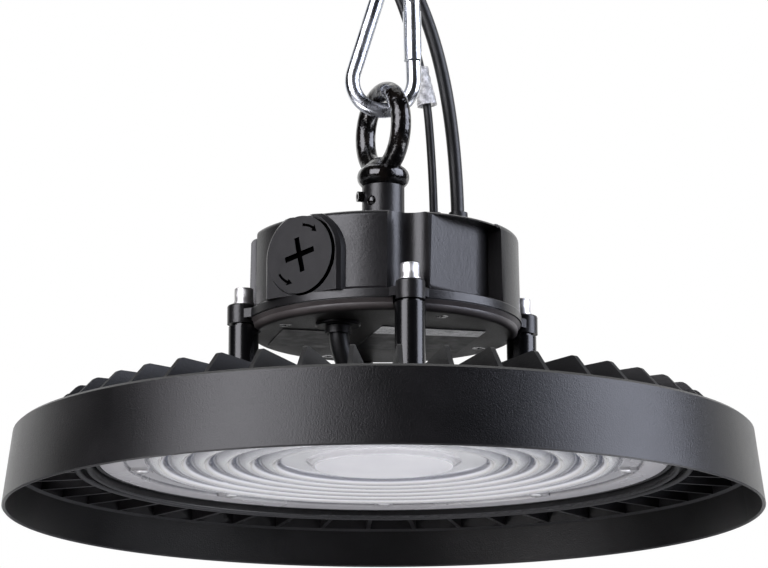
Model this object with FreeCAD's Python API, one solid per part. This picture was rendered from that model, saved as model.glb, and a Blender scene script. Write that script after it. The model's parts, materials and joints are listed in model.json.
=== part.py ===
import FreeCAD, Part
import math
import os

# Round industrial pendant light: a finned cast body with a deep rim, a clear ring lens below,
# a round driver box above it on four columns, an eye bolt, a spring hook and two leads.
# Millimetres, +Z up. Origin on the axis, in the plane of the rim's lower edge.
# Angles are measured from the front (-Y) towards the right (+X).

# Rim and fins of the cast body
rim_diameter = 340.0
rim_height = 34.5
rim_draft = 7.6
rim_wall = 1.6
rim_wall_top = 3.4
rim_air_gap = 31.2
rim_edge = 0.6
fin_count = 46
fin_thickness = 2.0
fin_level = 18.0
fin_top = 47.0
fin_inner_gap = 1.8
fin_shoulder_inset = 26.4
fin_slope = 45.0
fin_corner = 4.0

# Plate and ring walls of the cast body
pocket_depth = 9.0
plate_thickness = 4.5
inner_rib_width = 2.5
rib_gap = 2.6
rib_gap_depth = 3.5
outer_wall_width = 3.2
column_boss_diameter = 17.0
column_boss_height = 2.5

# Lamp board
board_thickness = 1.6
chip_size = 3.0
chip_height = 0.7
first_ring_radius = 51.3
ring_pitch = 10.2
chip_spacing = 13.0
board_gap = 0.4
board_screw_radius = 38.0
board_screw_count = 4

# Clear lens, its gasket and screws
lens_sheet = 1.5
lens_flange = 2.8
lens_flange_width = 11.6
lens_chip_gap = 0.5
ridge_height = 2.4
ridge_land = 0.8
groove_depth = 0.9
groove_half_width = 2.2
lens_centre_radius = 31.0
lens_centre_drop = 2.5
lens_centre_edge = 4.0
gasket_lip = 2.6
gasket_gap = 0.15
gasket_seat_width = 5.0
lens_screw_inset = 16.6
lens_screw_count = 9
lens_screw_turn = 9.5
lens_boss_diameter = 7.0
lens_pad_width = 9.0
lens_pad_reach = 4.0

# Small screws
small_screw_diameter = 3.0
small_head_diameter = 5.8
small_head_height = 1.8
screw_clearance = 0.2

# Columns and their long screws
column_outset = 1.4
column_diameter = 13.5
column_length = 48.9
column_neck_height = 1.2
column_neck_diameter = 11.0
long_screw_diameter = 5.0
long_head_diameter = 8.5
long_head_height = 5.0
long_screw_end = 4.0
hex_size = 4.0
hex_depth = 2.6
flat_washer_diameter = 9.6
flat_washer_thickness = 1.0
spring_washer_diameter = 8.6
spring_washer_thickness = 1.6

# Driver box
lug_diameter = 13.0
lug_shift = 0.9
lug_height = 8.8
lug_drop = 2.0
lug_edge = 1.2
lug_flare = 5.0
lug_root = 4.0
flange_diameter = 124.6
flange_thickness = 4.0
box_height = 39.6
box_base_inset = 1.8
box_taper = 0.6
box_edge = 2.5
box_roof = 3.5
box_wall = 5.4
scallop_radius = 10.2
scallop_wall = 3.0
flat_turn = 38.5
flat_depth = 7.7
flat_end = 10.5
flat_wall = 3.0
flat_cove = 3.0
flat_corner = 2.5
roof_lip = 1.4
pillar_height = 1.3
pillar_start = 47.4
pillar_end = 79.0
neck_diameter = 19.3
neck_height = 25.0
neck_flare = 8.5
neck_edge = 0.8

# Sensor port on the side of the driver box
port_turn = -46.0
port_lift = 1.2
port_reach = 1.5
port_depth = 15.0
port_boss_wall = 3.05
port_boss_bevel = 1.5
port_boss_drop = 0.9
cap_margin = 4.9
cap_thickness = 2.8
cap_rise = 1.5
cap_gap = 0.9
cap_shoulder = 2.9
cap_spigot_length = 6.0
cap_spigot_wall = 2.4
cap_running_gap = 0.3
bayonet_reach = 2.0
bayonet_height = 1.6
bayonet_width = 7.0
cap_cross_length = 16.0
cap_cross_width = 2.6
cap_cross_depth = 2.0
cap_cross_turn = -12.0
arrow_inset = 4.0
arrow_width = 1.2
arrow_depth = 0.7
arrow_sweep = 26.0
arrow_head_half = 1.6
arrow_head_length = 2.9
closing_arrow_turn = -57.0
opening_arrow_turn = -60.0
seal_section = 1.6
seal_groove = 1.5
socket_flange = 2.5
socket_step = 2.75
socket_body_depth = 5.0
socket_jack_diameter = 8.0
socket_jack_length = 3.0
socket_gap = 0.3

# Cover under the driver box and what it carries
cover_inset = 0.4
cover_depth = 5.3
cover_floor = 2.0
cover_slope = 1.2
cover_round = 3.0
cover_notch_gap = 0.95
cover_seal_thickness = 0.5
cover_seal_gap = 0.2
cover_screw_inset = 4.0
cover_screw_turn = 20.0
cover_screw_grip = 7.0
cover_post_diameter = 8.4
circuit_post_height = 10.4
circuit_post_inset = 7.0
circuit_post_turn = 30.0
circuit_post_diameter = 7.0
circuit_gap = 9.5
circuit_thickness = 1.6
label_thickness = 0.3
wide_label_size = 48.0, 50.0
wide_label_place = 17.0, 2.5
wide_label_turn = 4.0
small_label_size = 27.0, 36.0
small_label_place = -34.5, 8.5
small_label_turn = 2.0

# Main pieces on the circuit board
# Their places are parts of the board's radius, and the tall ones stop a gap below the roof
transformer_size = 26.0, 22.0
transformer_head_gap = 7.4
transformer_place = 0.089, 0.244
transformer_yoke = 4.0
winding_overhang = 2.0
capacitor_diameter = 16.0
capacitor_head_gap = 3.4
capacitor_place = 0.556, -0.311
choke_diameter = 20.0
choke_bore = 8.0
choke_height = 9.0
choke_place = -0.044, -0.6

# Eye bolt
eye_collar_diameter = 23.8
eye_collar_height = 9.8
eye_ring_radius = 18.2
eye_section = 9.2
eye_ring_rise = 26.0
eye_turn = 15.9
eye_shank_diameter = 10.0
eye_shank_length = 20.0
lock_screw_rise = 19.5
grub_screw_rise = 16.7
lock_screw_turn = -85.0
grub_screw_turn = -45.0
lock_screw_diameter = 3.0
lock_head_diameter = 4.8
lock_head_height = 2.6
grub_screw_diameter = 4.6
grub_screw_dome = 0.9

# Spring hook
hook_turn = -10.5
hook_tilt = 7.85
hook_length = 70.0
hook_wire = 7.0
hook_big_radius = 14.0
hook_small_radius = 7.4
hook_rest_gap = 0.3
nose_end = 8.5
nose_tongue_end = 13.0
tongue_thickness = 3.2
gate_diameter = 8.4
gate_start = 9.3
gate_slot_top = 14.0
gate_fork_bottom = 32.5
gate_pivot = 37.5
gate_fit = 0.2
gate_pin_diameter = 3.0
gate_pin_fit = 0.05
gate_wall_offset = 1.8
gate_spring_diameter = 3.2
gate_spring_wall = 0.6
hinge_round = 4.3
hinge_clear = 4.8
tang_end = 34.4

# Leads and what holds them
lead_plane = 35.0
mains_diameter = 6.3
dimming_diameter = 4.0
dc_diameter = 9.0
gland_height = 21.0
mains_gland_diameter = 12.4
dimming_gland_diameter = 9.0
gland_nut_height = 6.0
gland_spigot_length = 5.5
gland_wall = 1.2
gland_fit = 0.3
sleeve_wall = 1.6
sleeve_gap = 0.5
sleeve_length = 18.0
core_length = 9.0
core_bare_length = 4.5
core_diameter = 1.7
core_bare_diameter = 1.1
dc_plate_diameter = 20.0
dc_plate_height = 1.5
dc_boot_height = 3.5
dc_boot_wall = 1.0
grommet_wall = 1.2
grommet_lip = 2.2
grommet_height = 2.0

# Across and up in the leads' own upright plane, behind the axis
mains_route = [(34.7, 116.0), (34.7, 139.0), (33.9, 163.0), (31.9, 187.0),
               (28.4, 210.0), (23.0, 232.0), (15.6, 252.0), (10.0, 263.5)]
dimming_route = [(23.6, 116.0), (23.6, 138.0), (23.0, 160.0), (22.0, 179.0), (20.6, 197.0),
                 (17.6, 215.5), (12.6, 234.0), (6.4, 252.0), (2.6, 261.0)]
dc_route = [(-25.3, -26.1, 83.4), (-25.3, -26.1, 72.4), (-21.6, -22.9, 62.4), (-15.6, -18.4, 53.2),
            (-10.4, -15.6, 44.2), (-8.0, -14.6, 35.6), (-8.0, -14.6, 27.9)]
sleeve_run = 4

# Levels and radii that follow from the sizes above
rim_radius = rim_diameter / 2
draft_slope = math.tan(math.radians(rim_draft))
wall_radius = rim_radius - rim_air_gap
outer_rib_radius = wall_radius - outer_wall_width
inner_rib_radius = outer_rib_radius - rib_gap
pocket_radius = inner_rib_radius - inner_rib_width
lens_radius = pocket_radius - gasket_gap - gasket_lip - gasket_gap
fin_shoulder_radius = rim_radius - fin_shoulder_inset
seat_z = fin_level + pocket_depth
plate_z = seat_z + plate_thickness
board_z = seat_z - board_thickness
chip_z = board_z - chip_height
lens_top_z = chip_z - lens_chip_gap
sheet_z = lens_top_z - lens_sheet
flange_z = lens_top_z - lens_flange
lens_screw_radius = lens_radius - lens_screw_inset
ridge_half = (ring_pitch - ridge_land) / 2
ring_room = lens_screw_radius - lens_boss_diameter / 2 - ridge_half - first_ring_radius
chip_rings = 1 + int(ring_room / ring_pitch)
board_radius = lens_radius - gasket_seat_width - board_gap
boss_z = plate_z + column_boss_height
flange_radius = flange_diameter / 2
column_radius = flange_radius + column_outset
fin_inner_radius = column_radius + column_boss_diameter / 2 + fin_inner_gap
lug_z = boss_z + column_length
lug_top_z = lug_z + lug_height
box_z = lug_z + lug_drop
flange_top_z = box_z + flange_thickness
top_z = box_z + box_height
roof_z = top_z - box_roof
neck_top_z = top_z + neck_height
base_radius = flange_radius - box_base_inset
roof_radius = base_radius - box_taper
cavity_radius = roof_radius - box_wall
flat_distance = base_radius - flat_depth
cover_radius = flange_radius - cover_inset
cover_z = box_z - cover_depth
cover_floor_z = cover_z + cover_floor
cover_seal_z = box_z - cover_seal_thickness
cover_screw_radius = cavity_radius - cover_screw_inset
cover_notch_radius = column_diameter / 2 + cover_notch_gap
circuit_radius = cavity_radius - circuit_gap
circuit_post_radius = circuit_radius - circuit_post_inset
circuit_z = cover_floor_z + circuit_post_height
circuit_top_z = circuit_z + circuit_thickness
capacitor_height = roof_z - circuit_top_z - capacitor_head_gap
transformer_height = roof_z - circuit_top_z - transformer_head_gap
port_z = box_z + box_height / 2 + port_lift
port_face = base_radius + port_reach
cap_face = port_face + cap_rise
cap_diameter = box_height - cap_margin
cap_spigot_diameter = cap_diameter - 2 * cap_shoulder
port_boss_radius = cap_diameter / 2 + port_boss_wall
socket_body_diameter = cap_spigot_diameter - 2 * socket_step
arrow_radius = cap_diameter / 2 - arrow_inset
socket_face = port_face - port_depth + socket_flange
eye_z = neck_top_z + eye_ring_rise
eye_top_z = eye_z + eye_ring_radius
lock_z = top_z + lock_screw_rise
grub_z = top_z + grub_screw_rise
grommet_neck_radius = dc_diameter / 2 + gland_fit + grommet_wall
big_centre_z = eye_top_z - eye_section / 2 - hook_wire / 2 - hook_rest_gap + hook_big_radius
small_centre_z = big_centre_z + hook_length - hook_big_radius - hook_small_radius - hook_wire
leg_lean = math.asin((hook_big_radius - hook_small_radius) / (small_centre_z - big_centre_z))
mains_place = mains_route[0][0]
dimming_place = dimming_route[0][0]
quarter_turns = [0, 90, 180, 270]
flat_turns = [flat_turn, flat_turn + 180]


def vec(x, y, z):
    return FreeCAD.Vector(x, y, z)


def polar(radius, turn, z):
    angle = math.radians(turn)
    return vec(radius * math.sin(angle), -radius * math.cos(angle), z)


def turned(shape, turn):
    shape.rotate(vec(0, 0, 0), vec(0, 0, 1), turn)
    return shape


def rod(radius, base, height, direction=None):
    return Part.makeCylinder(radius, height, base, direction or vec(0, 0, 1))


def ring(outer, inner, base, height):
    return rod(outer, base, height).cut(rod(inner, base, height))


def block(low, high):
    return Part.makeBox(high.x - low.x, high.y - low.y, high.z - low.z, low)


def outline(start, steps, place):
    # A step is the next corner, or a pair: a point on an arc and the arc's end
    edges = []
    here = place(*start)
    for step in steps:
        if isinstance(step[0], tuple):
            end = place(*step[1])
            edges.append(Part.Arc(here, place(*step[0]), end).toShape())
        else:
            end = place(*step)
            edges.append(Part.makeLine(here, end))
        here = end
    edges.append(Part.makeLine(here, place(*start)))
    return Part.Wire(edges)


def section_point(r, z):
    return vec(r, 0, z)


def turned_solid(start, steps, sweep=360.0):
    face = Part.Face(outline(start, steps, section_point))
    return face.revolve(vec(0, 0, 0), vec(0, 0, 1), sweep)


def corner_arc(corner, radius, enter, leave):
    # The rounded corner between two directions at right angles
    blend = radius * (1 - math.sqrt(0.5))
    start = (corner[0] - enter[0] * radius, corner[1] - enter[1] * radius)
    middle = (corner[0] - enter[0] * blend + leave[0] * blend,
              corner[1] - enter[1] * blend + leave[1] * blend)
    end = (corner[0] + leave[0] * radius, corner[1] + leave[1] * radius)
    return [start, (middle, end)]


def union(shapes):
    return shapes[0].multiFuse(shapes[1:]).removeSplitter()


def group(shapes):
    return Part.makeCompound(shapes)


# Cast body

def rim_outer(z):
    return rim_radius - z * draft_slope


def plate_and_walls():
    inner_low = ((pocket_radius + inner_rib_radius) / 2, fin_level)
    inner_round = inner_rib_width / 2
    outer_low = ((outer_rib_radius + wall_radius) / 2, fin_level)
    outer_round = outer_wall_width / 2
    steps = [(pocket_radius, seat_z),
             (pocket_radius, fin_level + inner_round),
             (inner_low, (inner_rib_radius, fin_level + inner_round)),
             (inner_rib_radius, fin_level + rib_gap_depth),
             (outer_rib_radius, fin_level + rib_gap_depth),
             (outer_rib_radius, fin_level + outer_round),
             (outer_low, (wall_radius, fin_level + outer_round)),
             (wall_radius, plate_z),
             (0, plate_z)]
    return turned_solid((0, seat_z), steps)


def rim():
    top = rim_outer(rim_height)
    steps = [(rim_outer(rim_edge), rim_edge),
             (rim_outer(rim_height - 2 * rim_edge), rim_height - 2 * rim_edge),
             (top - 2 * rim_edge, rim_height),
             (top - rim_wall_top + rim_edge, rim_height),
             (top - rim_wall_top, rim_height - rim_edge),
             (rim_outer(fin_level) - rim_wall_top, fin_level),
             (rim_outer(fin_level) - rim_wall, fin_level - 1),
             (rim_outer(rim_edge) - rim_wall, rim_edge),
             (rim_radius - rim_wall + rim_edge, 0)]
    return turned_solid((rim_radius - rim_edge, 0), steps)


def fin(index):
    fall = math.tan(math.radians(fin_slope))
    middle = rim_wall_top / 2
    meet_z = (fin_top - (rim_radius - middle - fin_shoulder_radius) * fall) / (1 - draft_slope * fall)
    meet_r = rim_outer(meet_z) - middle
    inner_corner = corner_arc((fin_inner_radius, fin_top), fin_corner, (0, 1), (1, 0))
    soft = fin_corner * math.tan(math.radians(fin_slope / 2))
    half = math.radians(fin_slope / 2)
    drop = fin_corner * (1 - math.cos(half))
    lean = fin_corner * math.sin(half)
    round_start = (fin_shoulder_radius - soft, fin_top)
    round_middle = (round_start[0] + lean, fin_top - drop)
    round_end = (fin_shoulder_radius + soft * math.cos(2 * half), fin_top - soft * math.sin(2 * half))
    steps = inner_corner + [round_start,
                            (round_middle, round_end),
                            (meet_r, meet_z),
                            (rim_outer(fin_level) - middle, fin_level),
                            (wall_radius - outer_wall_width / 2, fin_level + 0.5),
                            (wall_radius - outer_wall_width / 2, plate_z - 1),
                            (fin_inner_radius, plate_z - 1)]
    half_width = fin_thickness / 2
    face = Part.Face(outline(steps[0], steps[1:], lambda r, z: vec(r, -half_width, z)))
    blade = face.extrude(vec(0, fin_thickness, 0))
    return turned(blade, index * 360.0 / fin_count - 90)


def ring_places(radius, count, first_turn, z):
    return [polar(radius, first_turn + index * 360.0 / count, z) for index in range(count)]


def heat_sink():
    parts = [plate_and_walls(), rim()]
    parts += [fin(index) for index in range(fin_count)]
    for turn in quarter_turns:
        parts.append(rod(column_boss_diameter / 2, polar(column_radius, turn, plate_z - 1), column_boss_height + 1))
    for place in ring_places(lens_screw_radius, lens_screw_count, lens_screw_turn, lens_top_z):
        parts.append(rod(lens_boss_diameter / 2, place, seat_z - lens_top_z + 1))
    body = union(parts)
    holes = []
    for turn in quarter_turns:
        depth = column_boss_height + plate_thickness - 1
        holes.append(rod(long_screw_diameter / 2, polar(column_radius, turn, boss_z - depth), depth))
    depth = seat_z - lens_top_z + plate_thickness - 1
    for place in ring_places(lens_screw_radius, lens_screw_count, lens_screw_turn, lens_top_z):
        holes.append(rod(small_screw_diameter / 2, place, depth))
    for place in ring_places(board_screw_radius, board_screw_count, 0, seat_z):
        holes.append(rod(small_screw_diameter / 2, place, plate_thickness - 1))
    holes.append(rod(grommet_neck_radius, dc_end(seat_z), plate_thickness))
    return body.cut(holes)


# Lamp board, lens and gasket

def led_board():
    board = rod(board_radius, vec(0, 0, board_z), board_thickness)
    holes = [rod(small_screw_diameter / 2 + screw_clearance, place, board_thickness)
             for place in ring_places(board_screw_radius, board_screw_count, 0, board_z)]
    holes += [rod(lens_boss_diameter / 2 + board_gap, place, board_thickness)
              for place in ring_places(lens_screw_radius, lens_screw_count, lens_screw_turn, board_z)]
    holes.append(rod(grommet_neck_radius, dc_end(board_z), board_thickness))
    return board.cut(holes)


def ring_radii():
    return [first_ring_radius + index * ring_pitch for index in range(chip_rings)]


def led_chips():
    chips = []
    half = chip_size / 2
    for radius in ring_radii():
        count = round(2 * math.pi * radius / chip_spacing)
        for index in range(count):
            chip = block(vec(-half, -radius - half, chip_z), vec(half, -radius + half, board_z))
            chips.append(turned(chip, index * 360.0 / count))
    return group(chips)


def lens_screw_turns():
    return [lens_screw_turn + index * 360.0 / lens_screw_count for index in range(lens_screw_count)]


def lens_pad(turn):
    # A raised rectangle round a screw's head, which runs out into the flange
    half = lens_pad_width / 2
    outer = lens_radius - lens_flange_width + 1
    inner = lens_screw_radius - lens_pad_reach
    return turned(block(vec(-half, -outer, flange_z), vec(half, -inner, sheet_z + lens_sheet / 2)), turn)


def lens():
    half = ridge_half
    steps = [(lens_centre_radius, sheet_z - lens_centre_drop), (lens_centre_radius + lens_centre_edge, sheet_z)]
    for radius in ring_radii():
        steps.append((radius - half, sheet_z))
        steps.append(((radius, sheet_z - ridge_height), (radius + half, sheet_z)))
    flange_start = lens_radius - lens_flange_width
    steps += [(flange_start, sheet_z), (flange_start + 0.5, flange_z)]
    steps += corner_arc((lens_radius, flange_z), 0.7, (1, 0), (0, 1))
    steps.append((lens_radius, lens_top_z))
    for radius in reversed(ring_radii()):
        steps.append((radius + groove_half_width, lens_top_z))
        steps.append(((radius, lens_top_z - groove_depth), (radius - groove_half_width, lens_top_z)))
    steps.append((0, lens_top_z))
    sheet = turned_solid((0, sheet_z - lens_centre_drop), steps)
    sheet = sheet.fuse([lens_pad(turn) for turn in lens_screw_turns()])
    bore = small_head_diameter / 2 + screw_clearance
    holes = [rod(bore, place, sheet_z - flange_z)
             for place in ring_places(lens_screw_radius, lens_screw_count, lens_screw_turn, flange_z)]
    holes += [rod(small_screw_diameter / 2 + screw_clearance, place, lens_flange + 1)
             for place in ring_places(lens_screw_radius, lens_screw_count, lens_screw_turn, flange_z)]
    return sheet.cut(holes)


def lens_gasket():
    lip_inner = lens_radius + gasket_gap
    lip_outer = pocket_radius - gasket_gap
    middle = (lip_inner + lip_outer) / 2
    low = flange_z + (lip_outer - lip_inner) / 2
    seat_inner = lens_radius - gasket_seat_width
    steps = [(seat_inner, seat_z),
             (seat_inner, lens_top_z),
             (lip_inner, lens_top_z),
             (lip_inner, low),
             ((middle, flange_z), (lip_outer, low)),
             (lip_outer, seat_z)]
    return turned_solid(steps[0], steps[1:])


def pan_screw(head_z, shank_end):
    # The head hangs below head_z and the shank runs up to shank_end
    radius = small_head_diameter / 2
    low = head_z - small_head_height
    head = turned_solid((0, low), [(radius * 0.55, low), ((radius * 0.9, low + 0.5), (radius, low + 1.1)),
                                   (radius, head_z), (0, head_z)])
    screw = head.fuse(rod(small_screw_diameter / 2, vec(0, 0, head_z), shank_end - head_z))
    cross_half = radius * 0.55
    for turn in (0, 90):
        bar = block(vec(-cross_half, -0.35, low - 1), vec(cross_half, 0.35, low + 0.9))
        screw = screw.cut(turned(bar, turn))
    return screw


def screw_group(places, head_z, shank_end):
    screws = []
    for place in places:
        screw = pan_screw(head_z, shank_end)
        screw.translate(vec(place.x, place.y, 0))
        screws.append(screw)
    return group(screws)


def lens_screws():
    places = ring_places(lens_screw_radius, lens_screw_count, lens_screw_turn, 0)
    return screw_group(places, sheet_z, plate_z - 2)


def board_screws():
    # Flat heads, because the lens lies close below the board
    screws = []
    for place in ring_places(board_screw_radius, board_screw_count, 0, 0):
        head = rod(small_head_diameter / 2, vec(place.x, place.y, chip_z), chip_height)
        shank = rod(small_screw_diameter / 2, vec(place.x, place.y, board_z), plate_z - 2 - board_z)
        screws.append(head.fuse(shank))
    return group(screws)


# Columns

def column(turn):
    neck_z = lug_z - column_neck_height
    radius = column_diameter / 2
    steps = [(radius, boss_z), (radius, neck_z), (column_neck_diameter / 2, neck_z),
             (column_neck_diameter / 2, lug_z), (0, lug_z)]
    tube = turned_solid((0, boss_z), steps)
    tube = tube.cut(rod(long_screw_diameter / 2 + screw_clearance, vec(0, 0, boss_z), column_length))
    tube.translate(polar(column_radius, turn, 0))
    return tube


def hex_prism(across, base, height):
    radius = across / math.sqrt(3)
    corners = [base + vec(radius * math.cos(math.radians(60 * side)), radius * math.sin(math.radians(60 * side)), 0)
               for side in range(7)]
    return Part.Face(Part.makePolygon(corners)).extrude(vec(0, 0, height))


def column_screws():
    screws = []
    head_z = lug_top_z + flat_washer_thickness + spring_washer_thickness
    radius = long_head_diameter / 2
    low_z = boss_z - long_screw_end
    for turn in quarter_turns:
        steps = [(long_screw_diameter / 2, low_z), (long_screw_diameter / 2, head_z), (radius, head_z)]
        steps += corner_arc((radius, head_z + long_head_height), 0.5, (0, 1), (-1, 0))
        steps.append((0, head_z + long_head_height))
        screw = turned_solid((0, low_z), steps)
        screw = screw.cut(hex_prism(hex_size, vec(0, 0, head_z + long_head_height - hex_depth), hex_depth))
        screw.translate(polar(column_radius, turn, 0))
        screws.append(screw)
    return group(screws)


def washers(outer_diameter, thickness, z):
    inner = long_screw_diameter / 2 + screw_clearance
    return [ring(outer_diameter / 2, inner, polar(column_radius, turn, z), thickness) for turn in quarter_turns]


def flat_washers():
    return group(washers(flat_washer_diameter, flat_washer_thickness, lug_top_z))


def spring_washers():
    split = []
    z = lug_top_z + flat_washer_thickness
    reach = spring_washer_diameter
    for turn, washer in zip(quarter_turns, washers(spring_washer_diameter, spring_washer_thickness, z)):
        place = polar(column_radius, turn, z)
        slit = block(place + vec(0, -0.4, -1), place + vec(reach, 0.4, spring_washer_thickness + 1))
        split.append(washer.cut(slit))
    return group(split)


# Driver box

def box_outside():
    neck_radius = neck_diameter / 2
    steps = [(flange_radius, box_z)]
    steps += corner_arc((flange_radius, flange_top_z), 0.6, (0, 1), (-1, 0))
    steps += [(base_radius + 1, flange_top_z), (base_radius, flange_top_z + 1)]
    steps += corner_arc((roof_radius, top_z), box_edge, (0, 1), (-1, 0))
    steps += corner_arc((neck_radius, top_z), neck_flare, (-1, 0), (0, 1))
    steps += corner_arc((neck_radius, neck_top_z), neck_edge, (0, 1), (-1, 0))
    steps.append((0, neck_top_z))
    return turned_solid((0, box_z), steps)


def pillar():
    inner = base_radius - pillar_height - box_edge
    outer = base_radius + pillar_height
    low = flange_top_z - 0.5
    steps = [(outer, low)]
    steps += corner_arc((outer - 0.6, top_z), box_edge, (0, 1), (-1, 0))
    steps += [(inner, top_z), (inner, low)]
    sector = turned_solid(steps[-1], steps[:-1], pillar_end - pillar_start)
    return turned(sector, pillar_start - 90)


def beyond_plane(distance, low_z, high_z, side_end):
    # Everything in front of an upright plane, up to its end on the pillar's side
    reach = 2 * base_radius
    return block(vec(-reach, -reach, low_z), vec(side_end, -distance, high_z))


def flat_recess():
    # A flat panel let into the round side: a cove below, the roof's edge left whole above
    reach = 2 * base_radius
    low = flange_top_z
    high = top_z - roof_lip
    depth_steps = [(-flat_distance - flat_cove, low)]
    depth_steps += [((-flat_distance - flat_cove * (1 - math.sqrt(0.5)), low + flat_cove * (1 - math.sqrt(0.5))),
                     (-flat_distance, low + flat_cove))]
    depth_steps += [(-flat_distance, high), (-reach, high)]
    depth = Part.Face(outline((-reach, low), depth_steps, lambda y, z: vec(-reach, y, z)))
    depth = depth.extrude(vec(reach + flat_end, 0, 0))
    front_steps = [(flat_end, low)] + corner_arc((flat_end, high), flat_corner, (0, 1), (-1, 0)) + [(-reach, high)]
    front = Part.Face(outline((-reach, low), front_steps, lambda x, z: vec(x, -reach, z)))
    return depth.common(front.extrude(vec(0, reach, 0)))


def port_outline(half_width, y):
    low = flange_top_z - 0.5
    steps = [(-half_width, port_z), ((0, port_z + half_width), (half_width, port_z)), (half_width, low)]
    return outline((-half_width, low), steps, lambda x, z: vec(x, y, z))


def port_boss():
    inner_y = port_depth - port_face
    bevel_y = port_boss_bevel - port_face
    main = Part.Face(port_outline(port_boss_radius, inner_y)).extrude(vec(0, bevel_y - inner_y, 0))
    small = port_outline(port_boss_radius - port_boss_bevel, -port_face)
    nose = Part.makeLoft([port_outline(port_boss_radius, bevel_y), small], True, True)
    boss = main.fuse(nose)
    reach = 2 * base_radius
    lid = block(vec(-reach, -reach, top_z - port_boss_drop), vec(reach, reach, top_z + reach))
    return boss.cut(lid)


def along_port(radius, start, end):
    # A cylinder on the port's axis from one distance to another, measured out from the main axis
    return rod(radius, vec(0, -end, port_z), end - start, vec(0, 1, 0))


def port_hole():
    spigot_radius = cap_spigot_diameter / 2 + cap_running_gap
    recess = along_port(cap_diameter / 2 + cap_gap, port_face - cap_thickness - 0.2, port_face + 1)
    bore = along_port(spigot_radius, port_face - port_depth, port_face)
    lock_radius = cap_spigot_diameter / 2 + bayonet_reach + cap_running_gap
    lock_end = port_face - cap_thickness - cap_spigot_length + bayonet_height + 0.5
    groove = along_port(lock_radius, lock_end - bayonet_height - 1, lock_end)
    half = bayonet_width / 2 + 0.5
    entry = block(vec(-half, -port_face, port_z - lock_radius), vec(half, -lock_end + 0.5, port_z + lock_radius))
    entry = entry.common(along_port(lock_radius, lock_end - 1, port_face))
    entry.rotate(vec(0, 0, port_z), vec(0, 1, 0), 45)
    return recess.fuse([bore, groove, entry])


def inner_seat():
    # The bore narrows here, and the sensor socket stands against the step
    ledge = along_port(port_boss_radius, port_face - port_depth - 2, port_face - port_depth)
    hole_radius = socket_body_diameter / 2 + socket_gap
    return ledge.cut(along_port(hole_radius, port_face - port_depth - 2, port_face - port_depth))


def lug(turn):
    # An ear for one column: a post with a rounded upper edge and slanted flanks that run into the flange
    radius = lug_diameter / 2
    steps = [(radius, lug_z)]
    steps += corner_arc((radius, lug_top_z), lug_edge, (0, 1), (-1, 0))
    steps.append((0, lug_top_z))
    post = turned_solid((0, lug_z), steps)
    post.translate(vec(0, -column_radius - lug_shift, 0))
    corners = [vec(-radius - lug_flare, lug_root - flange_radius, box_z),
               vec(radius + lug_flare, lug_root - flange_radius, box_z),
               vec(radius, -column_radius - lug_shift, box_z),
               vec(-radius, -column_radius - lug_shift, box_z)]
    flanks = Part.Face(Part.makePolygon(corners + corners[:1])).extrude(vec(0, 0, flange_thickness))
    return turned(post.fuse(flanks), turn)


def driver_housing():
    shell = box_outside().fuse(pillar())
    shell = shell.cut([turned(flat_recess(), turn) for turn in flat_turns])
    notches = [rod(scallop_radius, polar(column_radius, turn, flange_top_z), box_height) for turn in quarter_turns]
    shell = shell.cut(notches)

    low = box_z - 1
    cavity = rod(cavity_radius, vec(0, 0, low), roof_z - low)
    keep = [rod(scallop_radius + scallop_wall, polar(column_radius, turn, low), box_height)
            for turn in quarter_turns]
    for turn in flat_turns:
        keep.append(turned(beyond_plane(flat_distance - flat_wall, low, top_z, flat_end + flat_wall), turn))
    keep += [rod(cover_post_diameter / 2, place, box_height) for place in cover_screw_places(low)]
    shell = shell.cut(cavity.cut(keep))

    shell = shell.fuse([lug(turn) for turn in quarter_turns])
    reach = 2 * base_radius
    seat_low = port_z - socket_body_diameter / 4
    seat = inner_seat().cut(block(vec(-reach, -reach, 0), vec(reach, 0, seat_low)))
    shell = shell.fuse([turned(port_boss(), port_turn), turned(seat, port_turn)])

    holes = [turned(port_hole(), port_turn)]
    for turn in quarter_turns:
        place = polar(column_radius, turn, lug_z)
        holes.append(rod(long_screw_diameter / 2 + screw_clearance, place, lug_height))
    for place in cover_screw_places(box_z):
        holes.append(rod(small_screw_diameter / 2, place, cover_screw_grip + 1))
    holes.append(rod(eye_shank_diameter / 2, vec(0, 0, neck_top_z - eye_shank_length - 1), eye_shank_length + 1))
    for place_x, lead_diameter in ((mains_place, mains_diameter), (dimming_place, dimming_diameter)):
        spigot_z = top_z - gland_spigot_length
        holes.append(rod(lead_diameter / 2 + gland_fit + gland_wall, behind(place_x, spigot_z), gland_spigot_length))
    holes.append(rod(lock_screw_diameter / 2, vec(0, 0, lock_z), neck_diameter, polar(1, lock_screw_turn, 0)))
    holes.append(rod(grub_screw_diameter / 2, vec(0, 0, grub_z), neck_diameter, polar(1, grub_screw_turn, 0)))
    return shell.cut(holes).removeSplitter()


def cover_screw_places(z):
    return ring_places(cover_screw_radius, 4, cover_screw_turn, z)


def circuit_screw_places(z):
    return ring_places(circuit_post_radius, 4, circuit_post_turn, z)


def dc_start(z):
    return vec(dc_route[0][0], dc_route[0][1], z)


def dc_end(z):
    return vec(dc_route[-1][0], dc_route[-1][1], z)


def column_notches(radius, z, height):
    return [rod(radius, polar(column_radius, turn, z), height) for turn in quarter_turns]


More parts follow.
